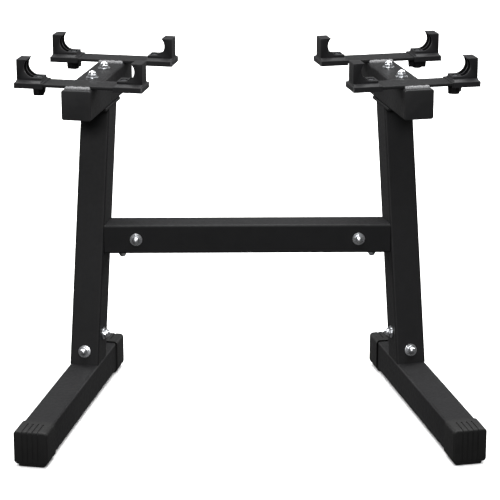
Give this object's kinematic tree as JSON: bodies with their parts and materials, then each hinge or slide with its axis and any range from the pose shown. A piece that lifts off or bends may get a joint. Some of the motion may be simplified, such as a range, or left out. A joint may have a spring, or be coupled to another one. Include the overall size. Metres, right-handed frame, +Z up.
{
  "type": "dumbbell rack",
  "caption": "Free-standing two-sided dumbbell stand: leaning square-tube uprights on splayed feet, joined by a crossbar, each carrying a level cradle with moulded hook saddles.",
  "frame": {"origin": "centre of the bounding box's base, on the floor, midway between the two side frames", "axes": "+X from the left side frame to the right one as seen from the front, +Y from front to back, +Z up"},
  "size_m": [0.9166, 0.7074, 0.69],
  "materials": {
    "frame_steel": "satin black powder coat with a fine texture",
    "weld_steel": "powder-coated weld bead",
    "zinc_steel": "bright zinc plating",
    "knob_polymer": "fine-grained moulded polymer",
    "saddle_nylon": "semi-matt moulded nylon",
    "cap_polymer": "matt moulded polymer",
    "plug_polymer": "smooth moulded polymer"
  },
  "bodies": {
    "root": {"cradle_bolts": "zinc_steel", "cradle_nuts": "zinc_steel", "cradle_washers": "zinc_steel", "crossbar": "frame_steel", "crossbar_front_bolts": "zinc_steel", "crossbar_front_nuts": "zinc_steel", "crossbar_front_washers": "zinc_steel", "crossbar_under_bolts": "zinc_steel", "crossbar_under_nuts": "zinc_steel", "crossbar_under_washers": "zinc_steel", "left_cradle_front_plug": "plug_polymer", "left_cradle_rear_plug": "plug_polymer", "left_cradle_tube": "frame_steel", "left_cross_plate_welds": "weld_steel", "left_crossbar_stub": "frame_steel", "left_foot_stub": "frame_steel", "left_foot_tube": "frame_steel", "left_front_cross_plate": "frame_steel", "left_front_foot_cap": "cap_polymer", "left_front_inner_saddle": "saddle_nylon", "left_front_outer_saddle": "saddle_nylon", "left_mounting_plate": "frame_steel", "left_mounting_welds": "weld_steel", "left_rear_cross_plate": "frame_steel", "left_rear_foot_cap": "cap_polymer", "left_rear_inner_saddle": "saddle_nylon", "left_rear_outer_saddle": "saddle_nylon", "left_upright": "frame_steel", "right_cradle_front_plug": "plug_polymer", "right_cradle_rear_plug": "plug_polymer", "right_cradle_tube": "frame_steel", "right_cross_plate_welds": "weld_steel", "right_crossbar_stub": "frame_steel", "right_foot_stub": "frame_steel", "right_foot_tube": "frame_steel", "right_front_cross_plate": "frame_steel", "right_front_foot_cap": "cap_polymer", "right_front_inner_saddle": "saddle_nylon", "right_front_outer_saddle": "saddle_nylon", "right_mounting_plate": "frame_steel", "right_mounting_welds": "weld_steel", "right_rear_cross_plate": "frame_steel", "right_rear_foot_cap": "cap_polymer", "right_rear_inner_saddle": "saddle_nylon", "right_rear_outer_saddle": "saddle_nylon", "right_upright": "frame_steel", "saddle_knobs": "knob_polymer", "saddle_long_screws": "zinc_steel", "saddle_short_screws": "zinc_steel", "upright_front_bolts": "zinc_steel", "upright_front_nuts": "zinc_steel", "upright_front_washers": "zinc_steel", "upright_side_bolts": "zinc_steel", "upright_side_nuts": "zinc_steel", "upright_side_washers": "zinc_steel"}
  },
  "joints": []
}
